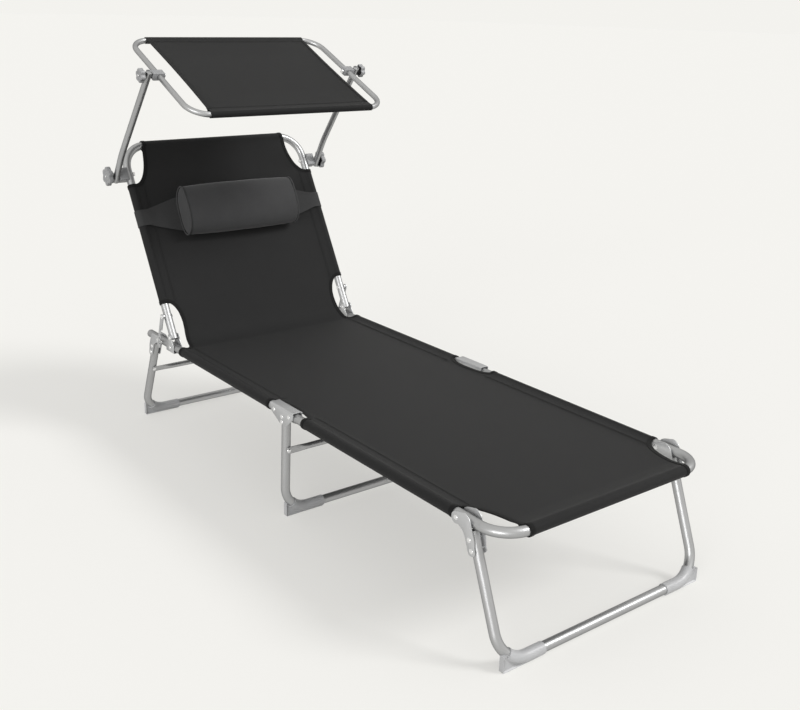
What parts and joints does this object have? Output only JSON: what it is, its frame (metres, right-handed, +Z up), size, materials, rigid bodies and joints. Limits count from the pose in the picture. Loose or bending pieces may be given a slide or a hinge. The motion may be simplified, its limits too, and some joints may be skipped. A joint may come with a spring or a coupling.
{
  "type": "folding sun lounger with canopy",
  "caption": "Folding sun lounger: bent tube frame with stretched cloth, reclining backrest, roll pillow, tilting sun canopy on swinging arms, and folding legs.",
  "frame": {"origin": "on the floor under the middle of the lounger's bounding box", "axes": "+X across to the user's left when lying on it, seen as right from the foot end; +Y from the foot end to the head end; +Z up"},
  "size_m": [0.69, 1.5956, 1.0493],
  "materials": {
    "steel_tube": "satin silver powder coat",
    "steel_plate": "satin silver powder coat on pressed plate",
    "fastener": "zinc plated",
    "grey_plastic": "moulded grey",
    "knob_plastic": "moulded grey",
    "fabric": "plain woven charcoal cloth with black binding",
    "pillow_cloth": "plain woven dark grey cloth"
  },
  "bodies": {
    "seat": {"rail_left": "steel_tube", "rail_right": "steel_tube", "rail_plug_left": "grey_plastic", "rail_plug_right": "grey_plastic", "hinge_bracket_left": "steel_plate", "hinge_bracket_right": "steel_plate", "hinge_pin_left": "fastener", "hinge_pin_right": "fastener", "latch_stud_left": "fastener", "latch_stud_right": "fastener", "seat_fabric": "fabric"},
    "backrest": {"backrest_frame": "steel_tube", "backrest_fabric": "fabric", "pillow": "pillow_cloth", "pillow_strap": "fabric", "clamp_block_left": "grey_plastic", "clamp_block_right": "grey_plastic", "strut_bolt_left": "fastener", "strut_bolt_right": "fastener", "arm_bolt_left": "fastener", "arm_bolt_right": "fastener"},
    "strut_left": {"strut_left": "steel_plate"},
    "strut_right": {"strut_right": "steel_plate"},
    "arms": {"arm_left": "steel_tube", "arm_right": "steel_tube"},
    "canopy": {"canopy_frame": "steel_tube", "canopy_fabric": "fabric", "canopy_clamp_left": "grey_plastic", "canopy_clamp_right": "grey_plastic", "canopy_bolt_left": "fastener", "canopy_bolt_right": "fastener"},
    "lower_knob_left": {"lower_knob_left": "knob_plastic"},
    "lower_knob_right": {"lower_knob_right": "knob_plastic"},
    "upper_knob_left": {"upper_knob_left": "knob_plastic"},
    "upper_knob_right": {"upper_knob_right": "knob_plastic"},
    "mid_leg": {"mid_leg_tube": "steel_tube", "mid_crossbar": "steel_tube", "mid_bracket_left": "steel_plate", "mid_bracket_right": "steel_plate", "mid_leg_shoe_left": "grey_plastic", "mid_leg_shoe_right": "grey_plastic"},
    "foot": {"foot_frame": "steel_tube", "foot_fabric": "fabric"},
    "front_leg": {"front_leg_tube": "steel_tube", "front_leg_bracket_left": "steel_plate", "front_leg_bracket_right": "steel_plate", "front_leg_shoe_left": "grey_plastic", "front_leg_shoe_right": "grey_plastic"},
    "rear_leg": {"rear_leg_tube": "steel_tube", "rear_crossbar": "steel_tube", "rear_leg_bracket_left": "steel_plate", "rear_leg_bracket_right": "steel_plate", "rear_leg_shoe_left": "grey_plastic", "rear_leg_shoe_right": "grey_plastic"}
  },
  "joints": [
    {"name": "backrest_recline", "type": "hinge", "parent": "seat", "child": "backrest", "pos_m": [0, 0.51643, 0.2905], "axis": [1, 0, 0], "range_deg": [-60.2, 65]},
    {"name": "strut_swing_left", "type": "hinge", "parent": "backrest", "child": "strut_left", "pos_m": [0, 0.54619, 0.34248], "axis": [1, 0, 0], "range_deg": [-65, 60.2]},
    {"name": "strut_swing_right", "type": "hinge", "parent": "backrest", "child": "strut_right", "pos_m": [0, 0.54619, 0.34248], "axis": [1, 0, 0], "range_deg": [-65, 60.2]},
    {"name": "canopy_arms_swing", "type": "hinge", "parent": "backrest", "child": "arms", "pos_m": [0, 0.74603, 0.69141], "axis": [1, 0, 0], "range_deg": [-100, 50]},
    {"name": "canopy_tilt", "type": "hinge", "parent": "arms", "child": "canopy", "pos_m": [0, 0.52308, 0.96574], "axis": [1, 0, 0], "range_deg": [-60, 40]},
    {"name": "mid_leg_fold", "type": "hinge", "parent": "seat", "child": "mid_leg", "pos_m": [0, -0.01997, 0.2645], "axis": [1, 0, 0], "range_deg": [0, 88]},
    {"name": "foot_fold", "type": "hinge", "parent": "mid_leg", "child": "foot", "pos_m": [0, -0.08257, 0.2645], "axis": [1, 0, 0], "range_deg": [0, 88]},
    {"name": "front_leg_fold", "type": "hinge", "parent": "foot", "child": "front_leg", "pos_m": [0, -0.66087, 0.2645], "axis": [1, 0, 0], "range_deg": [0, 111.2]},
    {"name": "rear_leg_fold", "type": "hinge", "parent": "seat", "child": "rear_leg", "pos_m": [0, 0.59243, 0.2645], "axis": [-1, 0, 0], "range_deg": [0, 114]},
    {"name": "lower_knob_turn_left", "type": "hinge", "parent": "backrest", "child": "lower_knob_left", "pos_m": [0, 0.74603, 0.69141], "axis": [1, 0, 0], "range_deg": [-360, 360]},
    {"name": "upper_knob_turn_left", "type": "hinge", "parent": "canopy", "child": "upper_knob_left", "pos_m": [0, 0.52308, 0.96574], "axis": [1, 0, 0], "range_deg": [-360, 360]},
    {"name": "lower_knob_turn_right", "type": "hinge", "parent": "backrest", "child": "lower_knob_right", "pos_m": [0, 0.74603, 0.69141], "axis": [1, 0, 0], "range_deg": [-360, 360]},
    {"name": "upper_knob_turn_right", "type": "hinge", "parent": "canopy", "child": "upper_knob_right", "pos_m": [0, 0.52308, 0.96574], "axis": [1, 0, 0], "range_deg": [-360, 360]}
  ],
  "couplings": [
    {"joint": "strut_swing_left", "follows": "backrest_recline", "ratio": -1},
    {"joint": "strut_swing_right", "follows": "backrest_recline", "ratio": -1}
  ]
}
